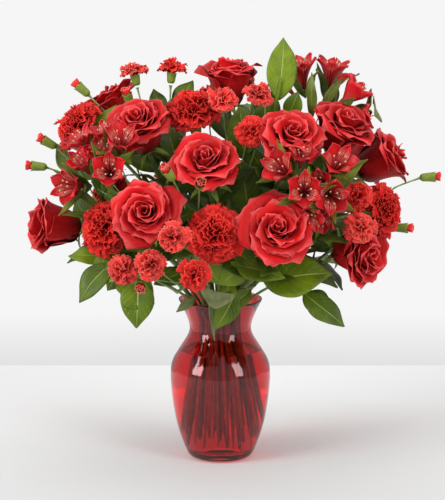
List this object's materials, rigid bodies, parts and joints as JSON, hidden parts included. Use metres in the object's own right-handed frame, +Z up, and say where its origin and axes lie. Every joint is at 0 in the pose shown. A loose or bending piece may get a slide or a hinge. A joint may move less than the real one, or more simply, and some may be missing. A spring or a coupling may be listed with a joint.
{
  "type": "mixed red bouquet in a glass vase",
  "caption": "Domed bouquet of red roses, carnations, spray carnations, alstroemeria and lemon leaf, standing in a ruby glass vase with a narrow neck and a flared rim.",
  "frame": {"origin": "centre of the vase's flat underside, on the surface it stands on", "axes": "+Z up, -Y towards the bouquet's front, +X to the right seen from the front"},
  "size_m": [0.5071, 0.3976, 0.529],
  "materials": {
    "ruby_glass": "polished, clear, red through its whole thickness",
    "rose_petals": "velvety, deep red",
    "carnation_petals": "matte, orange red",
    "spray_carnation": "matte, red with pale petal edges",
    "alstroemeria": "satin, crimson with dark streaks",
    "cut_stem": "green, fresh cut",
    "lemon_leaf": "leathery, glossy green"
  },
  "bodies": {
    "root": {"vase": "ruby_glass", "rose_1_bloom": "rose_petals", "rose_1_stem": "cut_stem", "rose_2_bloom": "rose_petals", "rose_2_stem": "cut_stem", "rose_3_bloom": "rose_petals", "rose_3_stem": "cut_stem", "rose_4_bloom": "rose_petals", "rose_4_stem": "cut_stem", "rose_5_bloom": "rose_petals", "rose_5_stem": "cut_stem", "rose_6_bloom": "rose_petals", "rose_6_stem": "cut_stem", "rose_7_bloom": "rose_petals", "rose_7_stem": "cut_stem", "rose_8_bloom": "rose_petals", "rose_8_stem": "cut_stem", "rose_9_bloom": "rose_petals", "rose_9_stem": "cut_stem", "rose_10_bloom": "rose_petals", "rose_10_stem": "cut_stem", "rose_11_bloom": "rose_petals", "rose_11_stem": "cut_stem", "rose_12_bloom": "rose_petals", "rose_12_stem": "cut_stem", "rose_13_bloom": "rose_petals", "rose_13_stem": "cut_stem", "rose_14_bloom": "rose_petals", "rose_14_stem": "cut_stem", "carnation_1_bloom": "carnation_petals", "carnation_1_stem": "cut_stem", "carnation_2_bloom": "carnation_petals", "carnation_2_stem": "cut_stem", "carnation_3_bloom": "carnation_petals", "carnation_3_stem": "cut_stem", "carnation_4_bloom": "carnation_petals", "carnation_4_stem": "cut_stem", "carnation_5_bloom": "carnation_petals", "carnation_5_stem": "cut_stem", "carnation_6_bloom": "carnation_petals", "carnation_6_stem": "cut_stem", "spray_carnation_1": "spray_carnation", "spray_carnation_2": "spray_carnation", "spray_carnation_3": "spray_carnation", "spray_carnation_4": "spray_carnation", "spray_carnation_5": "spray_carnation", "spray_carnation_6": "spray_carnation", "spray_carnation_7": "spray_carnation", "alstroemeria_1": "alstroemeria", "alstroemeria_2": "alstroemeria", "alstroemeria_3": "alstroemeria", "alstroemeria_4": "alstroemeria", "lemon_leaf_1": "lemon_leaf", "lemon_leaf_2": "lemon_leaf", "lemon_leaf_3": "lemon_leaf", "lemon_leaf_4": "lemon_leaf", "lemon_leaf_5": "lemon_leaf", "lemon_leaf_6": "lemon_leaf", "lemon_leaf_7": "lemon_leaf", "lemon_leaf_8": "lemon_leaf"}
  },
  "joints": []
}
